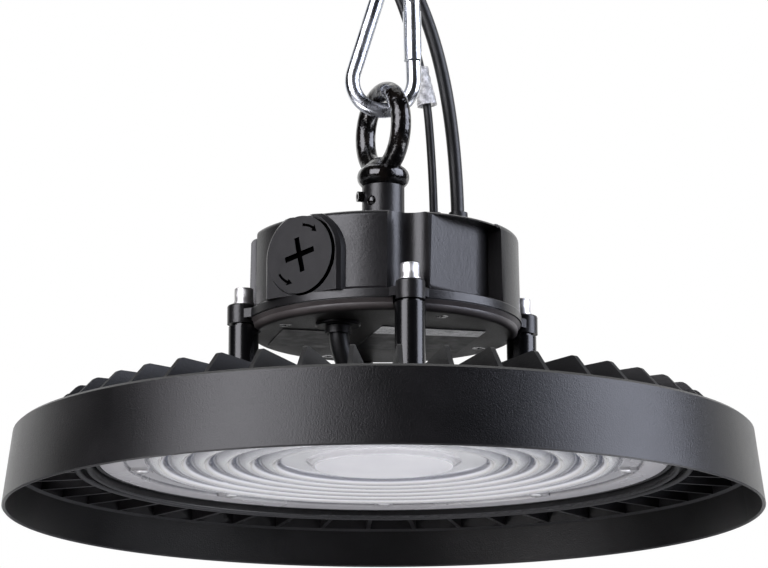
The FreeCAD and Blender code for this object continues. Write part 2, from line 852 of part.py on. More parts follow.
def driver_cover():
    # A shallow pan that closes the box from below, notched round the columns
    waist = cover_radius - cover_slope
    flat = waist - cover_round
    blend = cover_round * math.sqrt(0.5)
    steps = [(flat, cover_z),
             ((flat + blend, cover_z + cover_round - blend), (waist, cover_z + cover_round)),
             (cover_radius, cover_seal_z),
             (cavity_radius, cover_seal_z),
             (cavity_radius, cover_floor_z),
             (0, cover_floor_z)]
    pan = turned_solid((0, cover_z), steps)
    pan = pan.cut(column_notches(cover_notch_radius, cover_z, cover_depth))
    inside = rod(cover_radius - cover_slope, vec(0, 0, cover_z), box_z - cover_z)
    posts = [rod(cover_post_diameter / 2, place, box_z - cover_floor_z + 1).common(inside)
             for place in cover_screw_places(cover_floor_z - 1)]
    posts += [rod(circuit_post_diameter / 2, place, circuit_post_height + 1)
              for place in circuit_screw_places(cover_floor_z - 1)]
    sharp = small_head_diameter / 2 - small_screw_diameter / 2
    play = screw_clearance / 2
    holes = []
    for place in cover_screw_places(cover_z):
        holes.append(rod(small_screw_diameter / 2 + screw_clearance, place, cover_depth))
        holes.append(Part.makeCone(small_head_diameter / 2 + play, small_screw_diameter / 2 + play, sharp, place))
    holes.append(rod(dc_diameter / 2 + gland_fit + gland_wall, dc_start(cover_z), cover_floor))
    for place in circuit_screw_places(cover_floor_z):
        holes.append(rod(small_screw_diameter / 2, place, circuit_post_height))
    return union([pan] + posts).cut(holes)


def cover_screws():
    screws = []
    sharp = small_head_diameter / 2 - small_screw_diameter / 2
    slot_half = small_head_diameter * 0.27
    narrow = slot_half / 4
    for place in cover_screw_places(cover_z):
        head = Part.makeCone(small_head_diameter / 2, small_screw_diameter / 2, sharp, place)
        shank = rod(small_screw_diameter / 2, place, cover_depth + cover_screw_grip)
        slot = block(place + vec(-slot_half, -narrow, -1), place + vec(slot_half, narrow, sharp / 2))
        cross = block(place + vec(-narrow, -slot_half, -1), place + vec(narrow, slot_half, sharp / 2))
        screws.append(head.fuse(shank).cut([slot, cross]))
    return group(screws)


def cover_gasket():
    inner = cavity_radius + cover_seal_gap
    outer = cover_radius - cover_seal_gap
    band = ring(outer, inner, vec(0, 0, cover_seal_z), cover_seal_thickness)
    return band.cut(column_notches(cover_notch_radius + cover_seal_gap, cover_seal_z, cover_seal_thickness))


def label(size, place, turn):
    low = vec(-size[0] / 2, -size[1] / 2, cover_z - label_thickness)
    sheet = turned(block(low, low + vec(size[0], size[1], label_thickness)), turn)
    sheet.translate(vec(place[0], place[1], 0))
    return sheet


def cover_labels():
    return group([label(wide_label_size, wide_label_place, wide_label_turn),
                  label(small_label_size, small_label_place, small_label_turn)])


# Inside the driver box

def circuit_board():
    board = rod(circuit_radius, vec(0, 0, circuit_z), circuit_thickness)
    holes = [rod(small_screw_diameter / 2 + screw_clearance, place, circuit_thickness)
             for place in circuit_screw_places(circuit_z)]
    return board.cut(holes)


def circuit_screws():
    screws = []
    for place in circuit_screw_places(circuit_top_z):
        head = rod(small_head_diameter / 2, place, small_head_height)
        grip = circuit_post_height / 2
        shank = rod(small_screw_diameter / 2, place - vec(0, 0, grip), grip)
        screws.append(head.fuse(shank))
    return group(screws)


def on_board(place):
    return vec(place[0] * circuit_radius, place[1] * circuit_radius, circuit_top_z)


def transformer():
    length, depth = transformer_size
    height = transformer_height
    yoke = transformer_yoke
    middle = on_board(transformer_place)
    core = block(middle + vec(-length / 2, -depth / 2, 0), middle + vec(length / 2, depth / 2, height))
    wide = length / 2 - yoke - 0.1
    deep = depth / 2 + winding_overhang
    winding = block(middle + vec(-wide, -deep, yoke), middle + vec(wide, deep, height - yoke))
    return core.fuse(winding)


def bulk_capacitor():
    radius = capacitor_diameter / 2
    crimp = radius / 16
    low = circuit_top_z + 4 * crimp
    steps = [(radius, circuit_top_z), (radius, low), (radius - crimp, low + crimp), (radius, low + 2 * crimp)]
    steps += corner_arc((radius, circuit_top_z + capacitor_height), 2 * crimp, (0, 1), (-1, 0))
    steps.append((0, circuit_top_z + capacitor_height))
    can = turned_solid((0, circuit_top_z), steps)
    can.translate(on_board(capacitor_place) - vec(0, 0, circuit_top_z))
    return can


def input_choke():
    place = on_board(choke_place)
    return ring(choke_diameter / 2, choke_bore / 2, place, choke_height)


# Sensor port pieces

def sensor_socket():
    start = port_face - port_depth
    flange = along_port(cap_spigot_diameter / 2 + cap_running_gap - 0.1, start, socket_face)
    body = along_port(socket_body_diameter / 2, start - socket_body_depth, start)
    jack = along_port(socket_jack_diameter / 2, socket_face, socket_face + socket_jack_length)
    bore = along_port(socket_jack_diameter / 2 - 1.6, socket_face - 4, socket_face + socket_jack_length)
    return turned(flange.fuse([body, jack]).cut(bore), port_turn)


def arrow(turn, opening):
    # A curved arrow cut into the cap's face, drawn about the port's axis; the opening one points the other way
    floor_y = arrow_depth - cap_face
    low = cap_face - arrow_depth
    band = along_port(arrow_radius + arrow_width / 2, low, cap_face + 1)
    band = band.cut(along_port(arrow_radius - arrow_width / 2, low, cap_face + 1))
    reach = cap_diameter
    sweep = math.radians(arrow_sweep)
    corners = [vec(0, floor_y, port_z), vec(reach, floor_y, port_z),
               vec(reach * math.cos(sweep), floor_y, port_z + reach * math.sin(sweep))]
    cut_out = vec(0, -arrow_depth - 1, 0)
    sector = Part.Face(Part.makePolygon(corners + corners[:1])).extrude(cut_out)
    shaft = band.common(sector)
    tip = [vec(arrow_radius - arrow_head_half, floor_y, port_z), vec(arrow_radius + arrow_head_half, floor_y, port_z),
           vec(arrow_radius - arrow_width / 2, floor_y, port_z - arrow_head_length)]
    head = Part.Face(Part.makePolygon(tip + tip[:1])).extrude(cut_out)
    mark = shaft.fuse(head)
    if opening:
        mark = mark.mirror(vec(0, 0, port_z), vec(1, 0, 0))
    mark.rotate(vec(0, 0, port_z), vec(0, 1, 0), turn)
    return mark


def cap_seal_place():
    return port_face - cap_thickness - seal_section / 2 - 0.6


def port_cap():
    low = port_face - cap_thickness
    disc = along_port(cap_diameter / 2, low, cap_face)
    spigot = along_port(cap_spigot_diameter / 2, low - cap_spigot_length, low)
    hollow = along_port(cap_spigot_diameter / 2 - cap_spigot_wall, low - cap_spigot_length, low)
    lug_end = low - cap_spigot_length + bayonet_height
    reach = cap_spigot_diameter / 2 + bayonet_reach
    lugs = along_port(reach, lug_end - bayonet_height, lug_end)
    half = bayonet_width / 2
    lugs = lugs.common(block(vec(-half, -port_face, port_z - reach), vec(half, 0, port_z + reach)))
    lugs = lugs.cut(along_port(cap_spigot_diameter / 2 - 1, lug_end - bayonet_height, lug_end))
    cap = disc.fuse([spigot.cut(hollow), lugs])
    groove = along_port(cap_spigot_diameter / 2, cap_seal_place() - seal_section / 2 - 0.1,
                        cap_seal_place() + seal_section / 2 + 0.1)
    groove = groove.cut(along_port(cap_spigot_diameter / 2 - seal_groove, 0, port_face))
    cross = []
    arm = cap_cross_length / 2
    wide = cap_cross_width / 2
    for turn in (0, 90):
        bar = block(vec(-arm, -cap_face - 1, port_z - wide), vec(arm, cap_cross_depth - cap_face, port_z + wide))
        bar.rotate(vec(0, 0, port_z), vec(0, 1, 0), turn + cap_cross_turn)
        cross.append(bar)
    arrows = [arrow(closing_arrow_turn, False), arrow(opening_arrow_turn, True)]
    cap = cap.cut([groove] + cross + arrows)
    return turned(cap, port_turn)


def cap_seal():
    place = cap_seal_place()
    radius = cap_spigot_diameter / 2 - seal_groove + seal_section / 2
    seal = Part.makeTorus(radius, seal_section / 2, vec(0, -place, port_z), vec(0, 1, 0))
    return turned(seal, port_turn)


# Eye bolt

def eye_bolt():
    collar = eye_collar_diameter / 2
    low = neck_top_z
    high = neck_top_z + eye_collar_height
    shank = eye_shank_diameter / 2
    waist = eye_section / 2 + 1.2
    steps = [(shank, low - eye_shank_length), (shank, low), (collar - 2, low),
             ((collar, (low + high) / 2 - 0.6), (collar - 2.6, high - 1.2)),
             (waist + 0.8, high + 1.6), (waist - 2.0, high + 3.2), (0, high + 3.2)]
    base = turned_solid((0, low - eye_shank_length), steps)
    turn = math.radians(eye_turn)
    loop = Part.makeTorus(eye_ring_radius, eye_section / 2, vec(0, 0, eye_z),
                          vec(math.cos(turn), math.sin(turn), 0))
    return base.fuse(loop)


def lock_screw():
    out = polar(1, lock_screw_turn, 0)
    centre = vec(0, 0, lock_z)
    inner = eye_shank_diameter / 2
    outer = neck_diameter / 2
    shank = rod(lock_screw_diameter / 2, centre + out * (inner + 0.1), outer - inner, out)
    head = rod(lock_head_diameter / 2, centre + out * outer, lock_head_height, out)
    socket = rod(lock_head_diameter / 4, centre + out * (outer + 1.2), lock_head_height, out)
    return shank.fuse(head).cut(socket)


def grub_screw():
    # A short set screw whose domed end stands a little proud of the neck
    out = polar(1, grub_screw_turn, 0)
    centre = vec(0, 0, grub_z)
    inner = eye_shank_diameter / 2 + 0.1
    outer = neck_diameter / 2
    radius = grub_screw_diameter / 2
    body = rod(radius, centre + out * inner, outer + grub_screw_dome - inner, out)
    ball_radius = (radius ** 2 + grub_screw_dome ** 2) / (2 * grub_screw_dome)
    ball = Part.makeSphere(ball_radius, centre + out * (outer + grub_screw_dome - ball_radius))
    return body.common(ball.fuse(rod(radius, centre, outer, out)))


# Spring hook, drawn in the X-Z plane and then tilted and turned into place

def hook_place(shape):
    shape.rotate(vec(0, 0, big_centre_z), vec(0, 1, 0), hook_tilt)
    return turned(shape, hook_turn)


def leg_place(shape):
    # From a leg's own frame (along +Z, outwards +X) onto the hook's gate side
    shape.rotate(vec(0, 0, 0), vec(0, 1, 0), -math.degrees(leg_lean))
    shape.translate(leg_point(0))
    return shape


def leg_point(along):
    x = hook_big_radius * math.cos(leg_lean) - along * math.sin(leg_lean)
    z = big_centre_z + hook_big_radius * math.sin(leg_lean) + along * math.cos(leg_lean)
    return vec(x, 0, z)


def mirrored(point):
    return vec(-point.x, 0, point.z)


def leg_length():
    rise = small_centre_z - big_centre_z
    return math.sqrt(rise ** 2 - (hook_big_radius - hook_small_radius) ** 2)


def hook_body():
    tangent = leg_point(0)
    upper = leg_point(leg_length())
    path = [Part.makeLine(leg_point(nose_end), tangent),
            Part.Arc(tangent, vec(0, 0, big_centre_z - hook_big_radius), mirrored(tangent)).toShape(),
            Part.makeLine(mirrored(tangent), mirrored(upper)),
            Part.Arc(mirrored(upper), vec(0, 0, small_centre_z + hook_small_radius), upper).toShape(),
            Part.makeLine(upper, leg_point(tang_end))]
    start = leg_point(nose_end)
    along = leg_point(0) - start
    profile = Part.Wire([Part.makeCircle(hook_wire / 2, start, along)])
    wire = Part.Wire(path).makePipeShell([profile], True, False)
    wire = leg_unplace(wire)
    half = tongue_thickness / 2
    pivot = vec(0, -hook_wire, gate_pivot)
    around = rod(hinge_clear, pivot, 2 * hook_wire, vec(0, 1, 0))
    wire = wire.cut(around.cut(block(vec(-20, -half, 0), vec(20, half, 60))))
    tongue = rod(hook_wire / 2, vec(0, 0, nose_end - 1), nose_tongue_end - nose_end + 1)
    tongue = tongue.common(block(vec(gate_fit - gate_wall_offset, -half, 0), vec(20, half, 60)))
    pin_hole = rod(gate_pin_diameter / 2 + gate_pin_fit, pivot, 2 * hook_wire, vec(0, 1, 0))
    return hook_place(leg_place(wire.fuse(tongue).cut(pin_hole)))


def leg_unplace(shape):
    back = leg_point(0)
    shape.translate(vec(-back.x, -back.y, -back.z))
    shape.rotate(vec(0, 0, 0), vec(0, 1, 0), math.degrees(leg_lean))
    return shape


def hook_gate():
    radius = gate_diameter / 2
    half = tongue_thickness / 2 + gate_fit
    pivot = vec(0, -radius, gate_pivot)
    body = rod(radius, vec(0, 0, gate_start), gate_pivot - gate_start)
    knuckle = rod(radius, vec(0, 0, gate_pivot), radius + 1)
    knuckle = knuckle.common(rod(hinge_round, pivot, 2 * radius, vec(0, 1, 0)))
    body = body.fuse(knuckle)
    low_slot = block(vec(-gate_wall_offset, -half, gate_start - 1), vec(20, half, gate_slot_top))
    high_slot = block(vec(-20, -half, gate_fork_bottom), vec(20, half, 60))
    bore = rod(gate_spring_diameter / 2 + 0.1, vec(0, 0, gate_slot_top + 3), gate_fork_bottom - gate_slot_top)
    pin_hole = rod(gate_pin_diameter / 2 + gate_pin_fit, pivot, 2 * radius, vec(0, 1, 0))
    return hook_place(leg_place(body.cut([low_slot, high_slot, bore, pin_hole])))


def gate_pin():
    length = gate_diameter - 0.2
    pin = rod(gate_pin_diameter / 2, vec(0, -length / 2, gate_pivot), length, vec(0, 1, 0))
    return hook_place(leg_place(pin))


def gate_spring():
    base = vec(0, 0, gate_slot_top + 3.1)
    length = gate_fork_bottom - gate_slot_top - 3.2
    outer = gate_spring_diameter / 2
    return hook_place(leg_place(ring(outer, outer - gate_spring_wall, base, length)))


# Leads

def behind(across, z):
    # A place in the upright plane of the leads, parallel to the hook
    turn = math.radians(hook_turn)
    x = across * math.cos(turn) - lead_plane * math.sin(turn)
    y = across * math.sin(turn) + lead_plane * math.cos(turn)
    return vec(x, y, z)


def lead_path(points, name):
    # Straight runs joined by arcs as large as the runs allow
    edges = []
    here = points[0]
    length = 0
    for before, corner, after in zip(points, points[1:], points[2:]):
        back = (before - corner)
        ahead = (after - corner)
        reach = 0.45 * min(back.Length, ahead.Length)
        turn = math.pi - back.getAngle(ahead)
        radius = reach / math.tan(turn / 2)
        start = corner + back.normalize() * reach
        end = corner + ahead.normalize() * reach
        bisector = (back + ahead).normalize()
        middle = corner + bisector * (radius / math.cos(turn / 2) - radius)
        edges.append(Part.LineSegment(here, start).toShape())
        edges.append(Part.Arc(start, middle, end).toShape())
        length += edges[-1].Length + edges[-2].Length
        print(name, "bend radius", round(radius, 1))
        here = end
    edges.append(Part.LineSegment(here, points[-1]).toShape())
    print(name, "length", round(length + edges[-1].Length, 1))
    return Part.Wire(edges)


def lead_tube(points, diameter, name):
    path = lead_path(points, name)
    profile = Part.Wire([Part.makeCircle(diameter / 2, points[0], points[1] - points[0])])
    tube = path.makePipeShell([profile], True, False)
    print(name, "volume ratio", round(tube.Volume / (path.Length * math.pi * diameter ** 2 / 4), 4))
    return tube


def mains_points():
    return [behind(across, z) for across, z in mains_route]


def dimming_points():
    return [behind(across, z) for across, z in dimming_route]


def mains_lead():
    return lead_tube(mains_points(), mains_diameter, "mains lead")


def dimming_lead():
    return lead_tube(dimming_points(), dimming_diameter, "dimming lead")


def dc_lead():
    return lead_tube([vec(*point) for point in dc_route], dc_diameter, "dc lead")


def lead_cores(points, lead_diameter, count):
    # Stripped cores with bare tinned tips, side by side at the lead's free end
    end = points[-1]
    along = (points[-1] - points[-2]).normalize()
    side = along.cross(vec(0, 0, 1)).normalize()
    other = along.cross(side).normalize()
    spread = lead_diameter * 0.27
    cores = []
    for index in range(count):
        angle = 2 * math.pi * index / count
        place = end + side * (spread * math.cos(angle)) + other * (spread * math.sin(angle))
        jacket = rod(core_diameter / 2, place, core_length - core_bare_length, along)
        tip = rod(core_bare_diameter / 2, place, core_length, along)
        cores.append(jacket.fuse(tip))
    return group(cores)


def mains_cores():
    return lead_cores(mains_points(), mains_diameter, 3)


def dimming_cores():
    return lead_cores(dimming_points(), dimming_diameter, 2)


def gland(place_x, lead_diameter, body_diameter):
    bore = lead_diameter / 2 + gland_fit
    spigot = bore + gland_wall
    body = body_diameter / 2
    shoulder_z = top_z + gland_nut_height
    high = top_z + gland_height
    steps = [(spigot, top_z - gland_spigot_length), (spigot, top_z), (body, top_z), (body, shoulder_z - 1),
             (body - 1, shoulder_z), (spigot + 0.5, shoulder_z + 1.5), (bore + 0.9, high),
             (bore, high)]
    shape = turned_solid((bore, top_z - gland_spigot_length), steps)
    for turn in range(0, 360, 45):
        flute = rod(0.8, polar(body + 0.3, turn, top_z + 0.8), gland_nut_height)
        shape = shape.cut(flute)
    place = behind(place_x, 0)
    shape.translate(place)
    return shape


def mains_gland():
    return gland(mains_place, mains_diameter, mains_gland_diameter)


def dimming_gland():
    return gland(dimming_place, dimming_diameter, dimming_gland_diameter)


def cable_sleeve():
    first = int(sleeve_run)
    start, end = dimming_points()[first:first + 2]
    along = end - start
    spare = (along.Length - sleeve_length) / 2
    along = along.normalize()
    inner = dimming_diameter / 2 + sleeve_gap
    base = start + along * spare
    tube = rod(inner + sleeve_wall, base, sleeve_length, along)
    return tube.cut(rod(inner, base, sleeve_length, along))


def dc_gland():
    bore = dc_diameter / 2 + gland_fit
    low = cover_z - dc_plate_height
    end = low - dc_boot_height
    plate = dc_plate_diameter / 2
    spigot = bore + gland_wall
    boot = bore + dc_boot_wall
    steps = [(spigot, cover_floor_z), (spigot, cover_z), (plate, cover_z), (plate, low + dc_plate_height / 3),
             (plate - dc_plate_height / 3, low), (boot, low), (boot, end)]
    steps.append((bore, end))
    shape = turned_solid((bore, cover_floor_z), steps)
    shape.translate(dc_start(0))
    return shape


def dc_grommet():
    bore = dc_diameter / 2 + gland_fit
    neck = grommet_neck_radius - 0.05
    lip = grommet_neck_radius + grommet_lip
    steps = [(neck, seat_z), (neck, plate_z), (lip, plate_z)]
    steps += corner_arc((lip, plate_z + grommet_height), grommet_height / 2, (0, 1), (-1, 0))
    steps.append((bore, plate_z + grommet_height))
    shape = turned_solid((bore, seat_z), steps)
    shape.translate(dc_end(0))
    return shape


def make_parts():
    parts = {
        "heat_sink": heat_sink(),
        "led_board": led_board(),
        "led_chips": led_chips(),
        "board_screws": board_screws(),
        "lens": lens(),
        "lens_gasket": lens_gasket(),
        "lens_screws": lens_screws(),
        "column_front": column(0),
        "column_right": column(90),
        "column_back": column(180),
        "column_left": column(270),
        "column_screws": column_screws(),
        "flat_washers": flat_washers(),
        "spring_washers": spring_washers(),
        "driver_housing": driver_housing(),
        "driver_cover": driver_cover(),
        "cover_screws": cover_screws(),
        "cover_gasket": cover_gasket(),
        "cover_labels": cover_labels(),
        "circuit_board": circuit_board(),
        "circuit_screws": circuit_screws(),
        "transformer": transformer(),
        "bulk_capacitor": bulk_capacitor(),
        "input_choke": input_choke(),
        "sensor_socket": sensor_socket(),
        "port_cap": port_cap(),
        "cap_seal": cap_seal(),
        "eye_bolt": eye_bolt(),
        "lock_screw": lock_screw(),
        "grub_screw": grub_screw(),
        "hook": hook_body(),
        "hook_gate": hook_gate(),
        "gate_pin": gate_pin(),
        "gate_spring": gate_spring(),
        "mains_gland": mains_gland(),
        "dimming_gland": dimming_gland(),
        "mains_lead": mains_lead(),
        "dimming_lead": dimming_lead(),
        "mains_cores": mains_cores(),
        "dimming_cores": dimming_cores(),
        "cable_sleeve": cable_sleeve(),
        "dc_lead": dc_lead(),
        "dc_gland": dc_gland(),
        "dc_grommet": dc_grommet(),
    }
    return parts


os.makedirs("parts", exist_ok=True)
for node, shape in make_parts().items():
    print(node, "solids", len(shape.Solids), "valid", shape.isValid(), "volume", round(shape.Volume, 1))
    shape.exportStep("parts/" + node + ".step")
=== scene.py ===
import bpy
import math
from mathutils import Matrix, Vector
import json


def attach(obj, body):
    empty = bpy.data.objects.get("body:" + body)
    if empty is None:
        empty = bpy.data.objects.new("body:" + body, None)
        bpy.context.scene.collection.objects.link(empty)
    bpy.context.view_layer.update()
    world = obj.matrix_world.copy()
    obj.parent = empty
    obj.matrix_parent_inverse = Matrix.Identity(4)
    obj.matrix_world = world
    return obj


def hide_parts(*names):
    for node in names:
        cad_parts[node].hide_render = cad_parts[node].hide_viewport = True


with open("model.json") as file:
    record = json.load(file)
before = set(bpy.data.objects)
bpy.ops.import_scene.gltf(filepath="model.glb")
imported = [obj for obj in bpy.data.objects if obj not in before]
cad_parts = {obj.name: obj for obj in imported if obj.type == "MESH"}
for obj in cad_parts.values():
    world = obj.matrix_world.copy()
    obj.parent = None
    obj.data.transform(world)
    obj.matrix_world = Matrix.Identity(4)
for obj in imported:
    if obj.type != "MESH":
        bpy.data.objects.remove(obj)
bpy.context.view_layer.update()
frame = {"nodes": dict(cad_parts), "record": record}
nodes = frame["nodes"]
print("frame loaded:", len(nodes), "nodes")

# Camera, seen from below and a little to the left of the front
camera = {"place": (-0.30953, -1.67158, -0.2753), "heading": -10.5, "pitch": 102.581, "roll": -0.0855,
          "lens": 180.56, "sensor": 36.0}


def turnAbout(axis, degrees):
    return Matrix.Rotation(math.radians(degrees), 4, axis)


def makeCamera(settings):
    bpy.ops.object.camera_add()
    shot = bpy.context.object
    shot.name = "photoCamera"
    aim = turnAbout("Z", settings["heading"]) @ turnAbout("X", settings["pitch"])
    aim = aim @ turnAbout("Z", settings["roll"])
    shot.matrix_world = Matrix.Translation(settings["place"]) @ aim
    shot.data.lens = settings["lens"]
    shot.data.sensor_width = settings["sensor"]
    shot.data.clip_start = 0.05
    shot.data.clip_end = 30
    bpy.context.scene.camera = shot


makeCamera(camera)


# A number or colour on a socket, for plain arithmetic
class Signal:
    def __init__(self, look, socket):
        self.look = look
        self.socket = socket

    def __add__(self, other):
        return self.look.maths("ADD", self, other)

    def __radd__(self, other):
        return self.look.maths("ADD", other, self)

    def __sub__(self, other):
        return self.look.maths("SUBTRACT", self, other)

    def __rsub__(self, other):
        return self.look.maths("SUBTRACT", other, self)

    def __mul__(self, other):
        return self.look.maths("MULTIPLY", self, other)

    def __rmul__(self, other):
        return self.look.maths("MULTIPLY", other, self)

    def __truediv__(self, other):
        return self.look.maths("DIVIDE", self, other)

    def __pow__(self, other):
        return self.look.maths("POWER", self, other)

    def __abs__(self):
        return self.look.maths("ABSOLUTE", self)


# The nodes of one material, or of the world
class Look:
    def __init__(self, name, holder=None, coordinates="Object"):
        self.holder = holder or bpy.data.materials.new(name)
        self.holder.use_nodes = True
        self.tree = self.holder.node_tree
        self.tree.nodes.clear()
        self.coordinates = self.out(self.node("ShaderNodeTexCoord"), coordinates)

    def node(self, kind, settings=None, sockets=None):
        made = self.tree.nodes.new(kind)
        for key, value in (settings or {}).items():
            if key == "stops":
                ramp = made.color_ramp.elements
                while len(ramp) < len(value):
                    ramp.new(0.5)
                for stop, (place, colour) in zip(ramp, value):
                    stop.position = place
                    stop.color = (*colour, 1)
            else:
                setattr(made, key, value)
        for key, value in (sockets or {}).items():
            if isinstance(value, Signal):
                self.tree.links.new(value.socket, made.inputs[key])
            else:
                made.inputs[key].default_value = value
        return made

    def out(self, made, socket=0):
        return Signal(self, made.outputs[socket])

    def maths(self, operation, *values):
        return self.out(self.node("ShaderNodeMath", {"operation": operation}, dict(enumerate(values))))

    def noise(self, scale, detail=4.0, rough=0.5, where=None):
        made = self.node("ShaderNodeTexNoise", {}, {"Vector": where or self.coordinates, "Scale": scale,
                                                    "Detail": detail, "Roughness": rough})
        return self.out(made)

    def cells(self, scale):
        made = self.node("ShaderNodeTexVoronoi", {}, {"Vector": self.coordinates, "Scale": scale})
        return self.out(made, "Distance")

    def stretched(self, scale):
        made = self.node("ShaderNodeMapping", {}, {"Vector": self.coordinates, "Scale": scale})
        return self.out(made)

    def along(self, direction):
        made = self.node("ShaderNodeVectorMath", {"operation": "DOT_PRODUCT"},
                         {0: self.coordinates, 1: direction})
        return self.out(made, "Value")

    def axes(self):
        made = self.node("ShaderNodeSeparateXYZ", {}, {0: self.coordinates})
        return [self.out(made, index) for index in range(3)]

    def between(self, value, low, high, start=0.0, end=1.0):
        made = self.node("ShaderNodeMapRange", {"interpolation_type": "SMOOTHSTEP"},
                         {"Value": value, "From Min": low, "From Max": high, "To Min": start, "To Max": end})
        return self.out(made)

    def zone(self, value, low, lowFull, highFull, high):
        return self.between(value, low, lowFull) * (1 - self.between(value, highFull, high))

    def blendColour(self, factor, first, second):
        made = self.node("ShaderNodeMix", {"data_type": "RGBA"},
                         {0: factor, 6: first if isinstance(first, Signal) else (*first, 1),
                          7: second if isinstance(second, Signal) else (*second, 1)})
        return self.out(made, 2)

    def bump(self, height, distance, strength=1.0, under=None):
        sockets = {"Height": height, "Distance": distance, "Strength": strength}
        if under:
            sockets["Normal"] = under
        return self.out(self.node("ShaderNodeBump", {}, sockets))

    def shader(self, sockets):
        return self.out(self.node("ShaderNodeBsdfPrincipled", {}, sockets))

    def mixShader(self, factor, first, second):
        return self.out(self.node("ShaderNodeMixShader", {}, {0: factor, 1: first, 2: second}))

    def surface(self, shader):
        self.node("ShaderNodeOutputMaterial", {}, {"Surface": shader})
        return self.holder

    def finish(self, sockets):
        return self.surface(self.shader(sockets))

    def radius(self):
        x, y, z = self.axes()
        return (x ** 2 + y ** 2) ** 0.5


def paintLook(name, settings):
    # Slow cloud of tone, fine grain with pits, faint peel under it; above the given height the colour turns
    # darker, painted shade over the fins, and the roughness rises
    look = Look(name)
    cloud = look.noise(settings["cloudScale"], 3)
    grain = look.noise(settings["grainScale"], 2, 0.6)
    pits = look.cells(settings["grainScale"] * settings["pitScale"])
    tone = look.between(cloud, 0.3, 0.7)
    colour = look.blendColour(tone, settings["dark"], settings["light"])
    rough = look.between(grain, 0.2, 0.8, -1.0, 1.0) * settings["roughGrain"] + settings["rough"]
    rough = rough + (tone - 0.5) * settings["roughCloud"]
    # Painted shade: above this height the fins get a darker colour, as if they lay in shade; they are made
    # rougher too
    if "upperFrom" in settings:
        x, y, z = look.axes()
        upperShadeAndDull = look.between(z, settings["upperFrom"], settings["upperFrom"] + settings["upperFade"])
        colour = look.blendColour(upperShadeAndDull, colour, settings["upperShadeColour"])
        rough = rough + upperShadeAndDull * settings["upperRough"]
    normal = look.bump(grain + pits * settings["pitDepth"], settings["grainDepth"])
    normal = look.bump(look.noise(settings["peelScale"], 2), settings["peelDepth"], 1.0, normal)
    return look.finish({"Base Color": colour, "Roughness": rough, "Normal": normal,
                        "Specular IOR Level": settings["specular"]})


paints = {
    "castBlack": {"dark": (0.0026, 0.0024, 0.0027), "light": (0.0058, 0.0053, 0.0059), "rough": 0.34,
                  "roughGrain": 0.05, "roughCloud": 0.04, "cloudScale": 30, "grainScale": 2100,
                  "grainDepth": 0.00008, "peelScale": 260, "peelDepth": 0.00001, "specular": 0.45,
                  # painted shade: a darker colour for the fins above this height
                  "upperFrom": 0.0350, "upperFade": 0.004, "upperRough": 0.22,
                  "upperShadeColour": (0.0016, 0.0015, 0.0017)},
    "castGrey": {"dark": (0.006, 0.0056, 0.006), "light": (0.0105, 0.0098, 0.0105), "rough": 0.33,
                 "roughGrain": 0.05, "roughCloud": 0.03, "cloudScale": 45, "grainScale": 1300,
                 "grainDepth": 0.00004, "peelScale": 220, "peelDepth": 0.00005, "specular": 0.55},
    "coverGrey": {"dark": (0.056, 0.048, 0.046), "light": (0.084, 0.073, 0.070), "rough": 0.44,
                  "roughGrain": 0.06, "roughCloud": 0.08, "cloudScale": 60, "grainScale": 1400,
                  "grainDepth": 0.00004, "peelScale": 300, "peelDepth": 0.00004, "specular": 0.9},
    "columnBlack": {"dark": (0.003, 0.003, 0.0035), "light": (0.005, 0.005, 0.0055), "rough": 0.22,
                    "roughGrain": 0.01, "roughCloud": 0.03, "cloudScale": 40, "grainScale": 900,
                    "grainDepth": 0.000001, "peelScale": 60, "peelDepth": 0.00002, "specular": 0.55},
}
pits = {"pitScale": 0.6, "pitDepth": 0.5}
painted = {name: paintLook(name, {**pits, **settings}) for name, settings in paints.items()}


def capLook(settings):
    # Moulded plastic; whatever is cut below the face, the slot and the arrows, gets a near-black colour as
    # painted shade
    look = Look("capPlastic")
    turn = math.radians(settings["turn"])
    out = look.along((math.sin(turn), -math.cos(turn), 0))
    deep, shallow = settings["cutFrom"]
    face = look.between(out, settings["face"] - deep, settings["face"] - shallow)
    grain = look.noise(settings["grainScale"], 2)
    wear = look.noise(settings["wearScale"], 4, 0.6)
    colour = look.blendColour(look.between(wear, 0.35, 0.7), settings["dark"], settings["light"])
    rough = look.between(grain, 0.2, 0.8, *settings["rough"])
    normal = look.bump(grain, settings["grainDepth"])
    normal = look.bump(look.noise(settings["waveScale"], 2), settings["waveDepth"], 1.0, normal)
    plastic = look.shader({"Base Color": colour, "Roughness": rough, "Normal": normal})
    # Painted shade: near-black colour below the face stands in for the shade inside the slot, the arrows and
    # the gap at the cap's side
    cutShade = look.shader({"Base Color": settings["cutShade"], "Roughness": 1.0, "Specular IOR Level": 0.0})
    return look.surface(look.mixShader(face, cutShade, plastic))


def dippedLook(settings):
    # Thick gloss paint that ran and pooled over a rough forging
    look = Look("dippedBlack")
    lumps = look.noise(settings["lumpScale"], 3, 0.5)
    runs = look.noise(settings["runScale"], 2, 0.5, look.stretched((1, 1, settings["runStretch"])))
    specks = look.noise(settings["speckScale"], 2, 0.6)
    colour = look.blendColour(look.between(lumps, 0.42, 0.68), settings["dark"], settings["light"])
    rough = look.between(runs, 0.35, 0.65, *settings["rough"])
    rough = rough + look.between(specks, 0.58, 0.75, 0.0, settings["speckRough"])
    normal = look.bump(specks, settings["speckDepth"])
    normal = look.bump(lumps + runs * settings["runShare"], settings["lumpDepth"], 1.0, normal)
    return look.finish({"Base Color": colour, "Roughness": rough, "Normal": normal,
                        "Coat Weight": settings["coat"], "Coat Roughness": settings["coatRough"]})


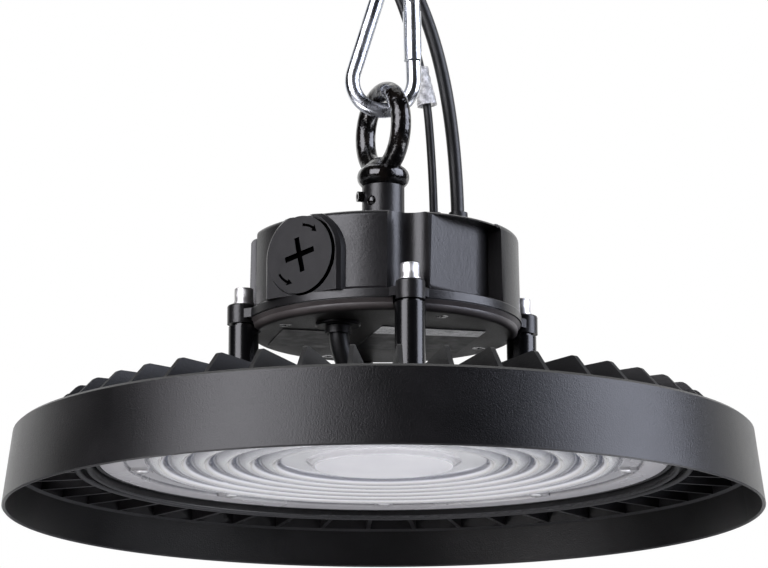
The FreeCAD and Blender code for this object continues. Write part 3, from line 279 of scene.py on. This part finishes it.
def zincLook(settings):
    look = Look("brightZinc")
    cloud = look.noise(settings["cloudScale"], 3, 0.5)
    scratch = look.noise(settings["scratchScale"], 3, 0.6, look.stretched((1, 1, settings["scratchStretch"])))
    colour = look.blendColour(look.between(cloud, 0.35, 0.65), settings["dark"], settings["light"])
    rough = look.between(scratch, 0.35, 0.7, *settings["rough"])
    normal = look.bump(look.noise(settings["grainScale"], 2), settings["grainDepth"])
    normal = look.bump(scratch, settings["scratchDepth"], 1.0, normal)
    return look.finish({"Base Color": colour, "Metallic": 1.0, "Roughness": rough, "Normal": normal})


def stainlessLook(settings):
    # Bright turned steel; the socket heads on the columns carry a fine knurl
    look = Look("plainStainless")
    x, y, z = look.axes()
    out = look.maths("MAXIMUM", abs(x), abs(y)) - settings["columnRadius"]
    side = look.maths("MINIMUM", abs(x), abs(y))
    ridges = look.maths("SINE", look.maths("ARCTAN2", side, out) * settings["ridges"])
    headLow, headHigh = settings["head"]
    knurl = ridges * look.zone(z, headLow + 0.0004, headLow + 0.0006, headHigh - 0.0012, headHigh - 0.0009)
    lines = look.noise(settings["lineScale"], 3, 0.6, look.stretched((1, 1, settings["lineStretch"])))
    dirt = look.noise(settings["dirtScale"], 3, 0.6)
    colour = look.blendColour(look.between(dirt, 0.55, 0.8), settings["clean"], settings["dirty"])
    rough = look.between(lines, 0.3, 0.7, *settings["rough"])
    normal = look.bump(lines, settings["lineDepth"])
    normal = look.bump(knurl, settings["knurlDepth"], 1.0, normal)
    return look.finish({"Base Color": colour, "Metallic": 1.0, "Roughness": rough, "Normal": normal})


def rubberLook(name, colour, rough):
    look = Look(name)
    cloud = look.noise(120, 3)
    grain = look.noise(1800, 2, 0.6)
    dust = look.between(look.noise(300, 4, 0.65), 0.55, 0.8)
    lighter = tuple(part * 1.7 + 0.004 for part in colour)
    tone = look.blendColour(look.between(cloud, 0.3, 0.7) * 0.6 + dust * 0.3, colour, lighter)
    normal = look.bump(grain, 0.00004)
    normal = look.bump(cloud, 0.0002, 1.0, normal)
    return look.finish({"Base Color": tone, "Normal": normal,
                        "Roughness": look.between(grain, 0.2, 0.8, rough - 0.05, rough + 0.07)})


def lensLook(settings):
    # Clear moulding in zones by radius: frosted middle, ridged rings painted with highlight and shade lines,
    # milky edge
    look = Look("clearLens")
    r = look.radius()
    middle, ringStart, ringEnd, flange = settings["zones"]
    frosted = 1 - look.between(r, middle - 0.0006, middle + 0.0012)
    slope = look.zone(r, middle - 0.0002, middle + 0.0014, middle + 0.0024, middle + 0.0042)
    ringed = look.zone(r, ringStart - 0.001, ringStart + 0.0006, ringEnd - 0.0006, ringEnd + 0.0004)
    edge = look.between(r, ringEnd - 0.0004, ringEnd + 0.001)
    lip = look.between(r, flange - 0.0006, flange + 0.0002)
    # Painted shade: a dark line just inside the flange, where the step to it lies in shade
    stepShade = look.zone(r, flange - 0.0012, flange - 0.0007, flange - 0.0002, flange + 0.0002)
    phase = look.maths("FRACT", (r - ringStart) / settings["pitch"])
    # Painted highlight and shade: bright and dark lines across each ring pitch stand in for the light caught
    # and lost on the ridges
    ridgeShadeAndGlint = look.out(look.node("ShaderNodeValToRGB", {"stops": settings["ridgeShadeAndGlintStops"]}, {0: phase}))
    stripe = look.out(look.node("ShaderNodeValToRGB", {"stops": settings["milkStops"]}, {0: phase}))
    mist = look.noise(settings["mistScale"], 3, 0.6)
    veil = look.noise(settings["veilScale"], 3, 0.5)
    colour = look.blendColour(look.between(veil, 0.35, 0.65), settings["veilDark"], settings["veilLight"])
    colour = look.blendColour(slope, colour, settings["slopeColour"])
    colour = look.blendColour(ringed, colour, ridgeShadeAndGlint)
    outer = look.blendColour(lip, settings["edgeColour"], settings["lipColour"])
    colour = look.blendColour(edge, colour, outer)
    colour = look.blendColour(stepShade, colour, settings["stepShadeColour"])
    share = settings["milky"]
    milky = frosted * share["frosted"] + edge * share["edge"] + share["all"]
    milky = milky * (1 - ringed) + ringed * stripe
    rough = frosted * settings["frostRough"] + edge * settings["edgeRough"]
    rough = rough + look.between(veil, 0.3, 0.7, *settings["rough"])
    normal = look.bump(mist, settings["mistDepth"])
    shared = {"Roughness": rough, "Normal": normal, "IOR": settings["ior"]}
    glass = look.shader({**shared, "Base Color": settings["glassColour"], "Transmission Weight": 1.0})
    milk = look.shader({**shared, "Base Color": colour})
    # Shadow rays pass straight through, so the chips and the board behind the lens are lit
    clear = look.node("ShaderNodeBsdfTransparent", {}, {"Color": settings["shadowColour"]})
    shadow = look.out(look.node("ShaderNodeLightPath"), "Is Shadow Ray")
    return look.surface(look.mixShader(shadow, look.mixShader(milky, glass, milk), look.out(clear)))


def chipLook(settings):
    # White frames with a round yellow middle, found from the chips' own ring pattern
    look = Look("chipFrames")
    x, y, z = look.axes()
    r = look.radius()
    first, pitch, spacing = settings["firstRing"], settings["pitch"], settings["spacing"]
    ring = look.maths("ROUND", (r - first) / pitch) * pitch + first
    count = look.maths("ROUND", ring * (2 * math.pi / spacing))
    share = look.maths("ARCTAN2", x, y * -1.0) / (2 * math.pi) * count
    aside = look.maths("FRACT", share + 100.5) - 0.5
    across = aside * ring * (2 * math.pi) / count
    away = (across ** 2 + (r - ring) ** 2) ** 0.5
    glow = 1 - look.between(away, settings["phosphor"] - 0.00012, settings["phosphor"] + 0.00012)
    speck = look.noise(2600, 2)
    border = look.blendColour(look.between(speck, 0.35, 0.65), (0.80, 0.79, 0.76), (0.88, 0.87, 0.85))
    yolk = look.blendColour(look.between(speck, 0.3, 0.7), (0.78, 0.50, 0.10), (0.86, 0.62, 0.18))
    colour = look.blendColour(glow, border, yolk)
    normal = look.bump(glow * -1.0, 0.0002)
    return look.finish({"Base Color": colour, "Roughness": glow * -0.15 + 0.4, "Normal": normal})


def labelLook(settings):
    # Bare film: a silvered strip along the wide label's front, soft grey elsewhere, rubbed in places
    look = Look("bareFilm")
    x, y, z = look.axes()
    low, high = settings["strip"]
    right = look.between(x, settings["middle"] - 0.001, settings["middle"] + 0.001)
    strip = look.zone(y, low - 0.0004, low + 0.0004, high - 0.0005, high + 0.0005) * right
    rub = look.noise(settings["rubScale"], 5, 0.65)
    cloud = look.noise(settings["cloudScale"], 3)
    field = look.blendColour(look.between(cloud, 0.3, 0.7), settings["dark"], settings["light"])
    silver = look.blendColour(look.between(rub, 0.3, 0.75), settings["silver"], settings["dullSilver"])
    colour = look.blendColour(strip, field, silver)
    colour = look.blendColour(look.between(rub, 0.62, 0.78) * 0.5, colour, settings["rubbed"])
    rough = look.between(rub, 0.3, 0.7, *settings["rough"]) - strip * settings["stripGloss"]
    normal = look.bump(cloud, 0.0003)
    return look.finish({"Base Color": colour, "Metallic": strip * 0.95, "Roughness": rough, "Normal": normal,
                        "Specular IOR Level": 0.4})


def coreLook(settings):
    # Coloured jackets below, bare tinned strands above, told apart by place across the leads' plane
    look = Look("coreJackets")
    x, y, z = look.axes()
    turn = math.radians(settings["turn"])
    across = x * math.cos(turn) + y * math.sin(turn)
    thick = look.between(across, settings["split"] - 0.0002, settings["split"] + 0.0002)
    jacket = look.out(look.node("ShaderNodeValToRGB", {"stops": settings["jackets"]},
                                {0: (across - settings["low"]) / settings["width"]}))
    bareFrom = thick * (settings["bareThick"] - settings["bareThin"]) + settings["bareThin"]
    bare = look.between(z - bareFrom, -0.0001, 0.0001)
    twist = look.maths("SINE", z * 9000.0 + across * 4000.0)
    strands = look.blendColour(look.between(twist, -0.6, 0.6), (0.50, 0.36, 0.26), (0.80, 0.74, 0.68))
    colour = look.blendColour(bare, jacket, strands)
    normal = look.bump(twist * bare, 0.00012)
    normal = look.bump(look.noise(1500, 2), 0.00002, 1.0, normal)
    return look.finish({"Base Color": colour, "Metallic": bare, "Roughness": bare * -0.12 + 0.42,
                        "Normal": normal})


def boardLook(settings):
    look = Look("whiteBoard")
    ring = abs(look.maths("FRACT", (look.radius() - settings["firstGap"]) / settings["pitch"]) - 0.5)
    track = look.between(ring, 0.40, 0.47)
    flecks = look.noise(220, 2)
    colour = look.blendColour(track, (0.86, 0.87, 0.87), (0.60, 0.61, 0.62))
    colour = look.blendColour(look.between(flecks, 0.4, 0.7) * 0.15, colour, (0.7, 0.69, 0.64))
    normal = look.bump(track, 0.00004)
    return look.finish({"Base Color": colour, "Roughness": look.between(flecks, 0.3, 0.7, 0.3, 0.42),
                        "Normal": normal})


def plainLook(name, first, second, rough, scale=150):
    look = Look(name)
    cloud = look.noise(scale, 4)
    grain = look.noise(scale * 9, 2)
    colour = look.blendColour(look.between(cloud, 0.35, 0.65), first, second)
    normal = look.bump(grain, 0.00004)
    return look.finish({"Base Color": colour, "Normal": normal,
                        "Roughness": look.between(grain, 0.3, 0.7, rough - 0.05, rough + 0.05)})


def sleeveLook():
    look = Look("clearSleeve")
    folds = look.noise(330, 4, 0.6)
    alpha = look.between(folds, 0.36, 0.64, 0.30, 0.85)
    colour = look.blendColour(look.between(folds, 0.4, 0.7), (0.8, 0.8, 0.8), (0.97, 0.97, 0.98))
    normal = look.bump(folds, 0.0006)
    return look.finish({"Base Color": colour, "Roughness": look.between(folds, 0.3, 0.7, 0.12, 0.3),
                        "Alpha": alpha, "Normal": normal, "IOR": 1.45})


ringPitch = 0.0102
lensRingStart = 0.0462
looks = {
    "black_powder_coat": painted["castBlack"],
    "grey_powder_coat": painted["castGrey"],
    "dark_cover": painted["coverGrey"],
    "black_columns": painted["columnBlack"],
    "dark_plastic": capLook({
        "turn": -46.0, "face": 0.0635, "cutFrom": (0.00045, 0.00015), "dark": (0.007, 0.0065, 0.007),
        # the near-black colour below the face is painted shade in the cuts
        "light": (0.013, 0.012, 0.013), "cutShade": (0.001, 0.001, 0.001, 1), "rough": (0.30, 0.40),
        "grainScale": 2200, "grainDepth": 0.00003, "wearScale": 110, "waveScale": 70, "waveDepth": 0.00012}),
    "black_dipped_steel": dippedLook({
        "lumpScale": 150, "lumpDepth": 0.0012, "runScale": 60, "runStretch": 0.35, "runShare": 0.8,
        "speckScale": 700, "speckDepth": 0.00004, "speckRough": 0.10, "rough": (0.08, 0.22),
        "dark": (0.002, 0.0018, 0.0018), "light": (0.008, 0.006, 0.005), "coat": 0.5, "coatRough": 0.05}),
    "zinc_plated_steel": zincLook({
        "cloudScale": 90, "scratchScale": 260, "scratchStretch": 0.12, "scratchDepth": 0.00005,
        "grainScale": 420, "grainDepth": 0.00004, "rough": (0.2, 0.34), "dark": (0.66, 0.70, 0.78),
        "light": (0.82, 0.83, 0.84)}),
    "stainless_screws": stainlessLook({
        "columnRadius": 0.0637, "ridges": 44, "head": (0.0943, 0.0993), "knurlDepth": 0.000025,
        "lineScale": 500, "lineStretch": 4, "lineDepth": 0.00003, "dirtScale": 330, "rough": (0.36, 0.44),
        "clean": (0.80, 0.79, 0.78), "dirty": (0.62, 0.60, 0.58)}),
    "black_rubber": rubberLook("cableSheath", (0.0035, 0.0035, 0.0038), 0.42),
    "black_seal": rubberLook("siliconeSeal", (0.004, 0.004, 0.0042), 0.5),
    "clear_lens": lensLook({
        "zones": (0.0310, lensRingStart, 0.1070, 0.1162), "pitch": ringPitch, "ior": 1.49,
        # the ring colours are painted highlights and painted shade of the ridges
        "ridgeShadeAndGlintStops": [(0.0, (0.06, 0.07, 0.11)), (0.10, (0.10, 0.10, 0.14)), (0.17, (0.90, 0.90, 0.93)),
                      (0.30, (0.97, 0.94, 0.88)), (0.46, (0.97, 0.97, 0.98)), (0.62, (0.62, 0.62, 0.64)),
                      (0.80, (0.34, 0.34, 0.35)), (1.0, (0.06, 0.07, 0.11))],
        "milkStops": [(0.0, (0.72, 0.72, 0.72)), (0.20, (0.70, 0.70, 0.70)), (0.34, (0.36, 0.36, 0.36)),
                      (0.55, (0.30, 0.30, 0.30)), (0.80, (0.52, 0.52, 0.52)), (1.0, (0.72, 0.72, 0.72))],
        "milky": {"frosted": 0.25, "edge": 0.36, "all": 0.42}, "rough": (0.09, 0.14), "frostRough": 0.22,
        "edgeRough": 0.14, "mistScale": 900, "mistDepth": 0.000015, "veilScale": 26,
        "veilDark": (0.80, 0.79, 0.80), "veilLight": (0.88, 0.87, 0.87), "slopeColour": (0.55, 0.54, 0.55),
        # the dark line colour is painted shade at the step to the flange
        "edgeColour": (0.40, 0.395, 0.40), "lipColour": (0.47, 0.46, 0.465), "stepShadeColour": (0.16, 0.16, 0.17),
        "glassColour": (0.96, 0.98, 0.98, 1), "shadowColour": (0.90, 0.91, 0.91, 1)}),
    "white_board": boardLook({"firstGap": lensRingStart, "pitch": ringPitch}),
    "phosphor_chips": chipLook({
        "firstRing": 0.0513, "pitch": ringPitch, "spacing": 0.013, "phosphor": 0.0011}),
    "bare_label": labelLook({
        "middle": -0.014, "strip": (-0.0240, -0.0085), "rubScale": 140, "cloudScale": 38,
        "dark": (0.045, 0.043, 0.045), "light": (0.095, 0.092, 0.094), "silver": (0.80, 0.80, 0.82),
        "dullSilver": (0.60, 0.60, 0.62), "rubbed": (0.20, 0.20, 0.20), "rough": (0.34, 0.5),
        "stripGloss": 0.24}),
    "circuit_board": plainLook("greenLaminate", (0.02, 0.12, 0.05), (0.03, 0.18, 0.07), 0.35),
    "ferrite_and_tape": plainLook("ferrite", (0.03, 0.03, 0.03), (0.06, 0.055, 0.05), 0.5),
    "capacitor_can": plainLook("canSleeve", (0.01, 0.012, 0.03), (0.02, 0.022, 0.05), 0.25),
    "tinned_copper": coreLook({
        "turn": -10.5, "split": 0.0045, "low": -0.003, "width": 0.016,
        "bareThick": 0.2680, "bareThin": 0.2655,
        "jackets": [(0.0, (0.25, 0.02, 0.30)), (0.28, (0.40, 0.38, 0.36)), (0.52, (0.01, 0.06, 0.42)),
                    (0.70, (0.10, 0.32, 0.03)), (0.86, (0.16, 0.05, 0.015))]}),
    "clear_sleeve": sleeveLook(),
}
for entry in frame["record"]["subparts"]:
    mesh = nodes[entry["node"]].data
    mesh.materials.clear()
    mesh.materials.append(looks[entry["material_slot"]])
print("materials:", len(looks))

# Leads: the same points as in the part's source, in millimetres; two lie in a plane behind the axis
leads = {
    "plane": 0.035, "turn": -10.5,
    "mains": {"points": [(34.7, 116.0), (34.7, 139.0), (33.9, 163.0), (31.9, 187.0), (28.4, 210.0),
                         (23.0, 232.0), (15.6, 252.0), (10.0, 263.5)],
              "diameter": 0.0063, "length": 0.151},
    "dimming": {"points": [(23.6, 116.0), (23.6, 138.0), (23.0, 160.0), (22.0, 179.0), (20.6, 197.0),
                           (17.6, 215.5), (12.6, 234.0), (6.4, 252.0), (2.6, 261.0)],
                "diameter": 0.0040, "length": 0.148},
    "driver": {"points": [(-25.3, -26.1, 83.4), (-25.3, -26.1, 72.4), (-21.6, -22.9, 62.4),
                          (-15.6, -18.4, 53.2), (-10.4, -15.6, 44.2), (-8.0, -14.6, 35.6),
                          (-8.0, -14.6, 27.9)],
               "diameter": 0.0090, "length": 0.061},
}


def behindAxis(across, up):
    turn = math.radians(leads["turn"])
    x, y = across / 1000, leads["plane"]
    along, back = x * math.cos(turn) - y * math.sin(turn), x * math.sin(turn) + y * math.cos(turn)
    return Vector((along, back, up / 1000))


def deselectAll():
    if bpy.context.object and bpy.context.object.mode != "OBJECT":
        bpy.ops.object.mode_set(mode="OBJECT")
    bpy.ops.object.select_all(action="DESELECT")


def makeLead(name, points, diameter):
    curve = bpy.data.curves.new(name, "CURVE")
    curve.dimensions = "3D"
    curve.resolution_u = 12
    curve.bevel_depth = diameter / 2
    curve.bevel_resolution = 6
    curve.use_fill_caps = True
    spline = curve.splines.new("NURBS")
    spline.points.add(len(points) - 1)
    for point, place in zip(spline.points, points):
        point.co = (*place, 1)
    spline.order_u = 3
    spline.use_endpoint_u = True
    lead = bpy.data.objects.new(name, curve)
    bpy.context.scene.collection.objects.link(lead)
    curve.materials.append(looks["black_rubber"])
    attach(lead, "lamp")
    return lead


mainsPoints = [behindAxis(*point) for point in leads["mains"]["points"]]
dimmingPoints = [behindAxis(*point) for point in leads["dimming"]["points"]]
driverPoints = [Vector(point) / 1000 for point in leads["driver"]["points"]]
mainsCable = makeLead("mainsCable", mainsPoints, leads["mains"]["diameter"])
dimmingCable = makeLead("dimmingCable", dimmingPoints, leads["dimming"]["diameter"])
driverCable = makeLead("driverCable", driverPoints, leads["driver"]["diameter"])
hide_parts("mains_lead")
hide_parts("dimming_lead")
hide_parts("dc_lead")
print("leads laid")

# Crumpled clear sleeve that shields the dimming lead's joint
sleeve = {"from": 4, "length": 0.0185, "wide": 0.0044, "narrow": 0.0031, "wall": 0.0003, "crumple": 0.0016,
          "folds": 0.0042, "sides": 40, "cuts": 9, "middleLevel": 0.35, "smoothAngle": 50}


def applyModifiers(piece):
    bpy.context.view_layer.objects.active = piece
    for modifier in list(piece.modifiers):
        bpy.ops.object.modifier_apply(modifier=modifier.name)


def makeSleeve(settings, points):
    start, end = points[settings["from"]], points[settings["from"] + 1]
    along = (end - start).normalized()
    base = (start + end) / 2 - along * settings["length"] / 2
    deselectAll()
    bpy.ops.mesh.primitive_cone_add(vertices=settings["sides"], radius1=settings["wide"],
                                    radius2=settings["narrow"], depth=settings["length"],
                                    end_fill_type="NOTHING", location=(0, 0, settings["length"] / 2))
    piece = bpy.context.object
    piece.name = "crumpledSleeve"
    bpy.ops.object.mode_set(mode="EDIT")
    bpy.ops.mesh.select_all(action="SELECT")
    bpy.ops.mesh.subdivide(number_cuts=settings["cuts"])
    bpy.ops.object.mode_set(mode="OBJECT")
    bpy.ops.object.transform_apply(location=True)
    folds = bpy.data.textures.new("sleeveFolds", "CLOUDS")
    folds.noise_scale = settings["folds"]
    folds.noise_depth = 2
    crumple = piece.modifiers.new("crumple", "DISPLACE")
    crumple.texture = folds
    crumple.strength = settings["crumple"]
    crumple.mid_level = settings["middleLevel"]
    wall = piece.modifiers.new("wall", "SOLIDIFY")
    wall.thickness = settings["wall"]
    applyModifiers(piece)
    piece.matrix_world = Matrix.Translation(base) @ along.to_track_quat("Z", "Y").to_matrix().to_4x4()
    bpy.ops.object.transform_apply(location=True, rotation=True, scale=True)
    bpy.ops.object.shade_smooth_by_angle(angle=math.radians(settings["smoothAngle"]))
    piece.data.materials.clear()
    piece.data.materials.append(looks["clear_sleeve"])
    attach(piece, "lamp")
    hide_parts("cable_sleeve")
    return piece


clearSleeve = makeSleeve(sleeve, dimmingPoints)
print("sleeve modelled")

# Floor, world and lamps: a white wall behind the lamp, a dark room in front, two tall softboxes above the
# rim, a weak one over the top and two low ones that light the lens
studio = {
    "floorHeight": -0.62, "floorWhite": 0.85, "floorSize": 5.0, "floorPlace": (0.35, 2.0),
    "backTurn": 10.5, "wallFrom": 0.40, "wallTo": 0.78, "wallLight": 1.0, "frontLight": 0.005,
    "aimHeight": 0.06,
    "lamps": {
        "leftSoftbox": {"turn": -53, "rise": 25, "distance": 1.8, "width": 1.3, "height": 1.5,
                        "brightness": 5.6, "colour": (1.0, 0.99, 1.06)},
        "rightSoftbox": {"turn": 66, "rise": 25, "distance": 1.8, "width": 1.3, "height": 1.5,
                         "brightness": 5.4, "colour": (0.92, 0.96, 1.13)},
        "topSoftbox": {"turn": 170, "rise": 70, "distance": 1.7, "width": 1.2, "height": 1.2,
                       "brightness": 0.9, "colour": (1, 1, 1)},
        "lowLeftSoftbox": {"turn": -72, "rise": -32, "distance": 0.85, "width": 0.6, "height": 0.36,
                           "brightness": 5.5, "colour": (1.0, 0.98, 1.0)},
        "lowRightSoftbox": {"turn": 66, "rise": -32, "distance": 0.85, "width": 0.6, "height": 0.36,
                            "brightness": 4.7, "colour": (0.97, 0.98, 1.04)},
    },
}


def aroundAxis(turn, rise, distance):
    turn, rise = math.radians(turn), math.radians(rise)
    flat = math.cos(rise)
    return Vector((math.sin(turn) * flat, -math.cos(turn) * flat, math.sin(rise))) * distance


def makeStudio(settings):
    deselectAll()
    x, y = settings["floorPlace"]
    bpy.ops.mesh.primitive_plane_add(size=settings["floorSize"], location=(x, y, settings["floorHeight"]))
    floor = bpy.context.object
    floor.name = "studioFloor"
    look = Look("paleFloor")
    tone = look.blendColour(look.noise(3, 3), (0.66, 0.66, 0.66), (0.70, 0.70, 0.70))
    shade = look.shader({"Base Color": tone, "Roughness": 0.7})
    white = look.out(look.node("ShaderNodeEmission", {}, {"Color": (1, 1, 1, 1), "Strength": 1.0}))
    seen = look.out(look.node("ShaderNodeLightPath"), "Is Camera Ray") * settings["floorWhite"]
    floor.data.materials.append(look.surface(look.mixShader(seen, shade, white)))
    for name, lamp in settings["lamps"].items():
        place = aroundAxis(lamp["turn"], lamp["rise"], lamp["distance"])
        bpy.ops.object.light_add(type="AREA", location=place)
        light = bpy.context.object
        light.name = name
        light.data.shape = "RECTANGLE"
        light.data.size = lamp["width"]
        light.data.size_y = lamp["height"]
        light.data.energy = math.pi * lamp["width"] * lamp["height"] * lamp["brightness"]
        light.data.color = lamp["colour"]
        aim = Vector((0, 0, settings["aimHeight"])) - place
        light.rotation_euler = aim.to_track_quat("-Z", "Y").to_euler()


def makeWorld(settings):
    # The camera sees white all round; gloss and glass see white only where the wall stands behind the lamp
    world = bpy.data.worlds.new("whiteStudio")
    bpy.context.scene.world = world
    sky = Look(world.name, world, "Generated")
    turn = math.radians(settings["backTurn"])
    toBack = sky.along((math.sin(turn), math.cos(turn), 0))
    wall = settings["wallFrom"], settings["wallTo"]
    strength = sky.between(toBack, *wall, settings["frontLight"], settings["wallLight"])
    ray = sky.node("ShaderNodeLightPath")
    mirrored = sky.maths("MAXIMUM", sky.out(ray, "Is Glossy Ray"), sky.out(ray, "Is Transmission Ray"))
    white = sky.maths("MAXIMUM", mirrored * sky.between(toBack, *wall), sky.out(ray, "Is Camera Ray"))
    lit = sky.out(sky.node("ShaderNodeBackground", {}, {"Color": (1, 1, 1, 1), "Strength": strength}))
    seen = sky.out(sky.node("ShaderNodeBackground", {}, {"Color": (1, 1, 1, 1), "Strength": 1.0}))
    sky.node("ShaderNodeOutputWorld", {}, {"Surface": sky.mixShader(white, lit, seen)})


makeStudio(studio)
makeWorld(studio)
bpy.context.scene.view_settings.view_transform = "Standard"
print("studio ready")
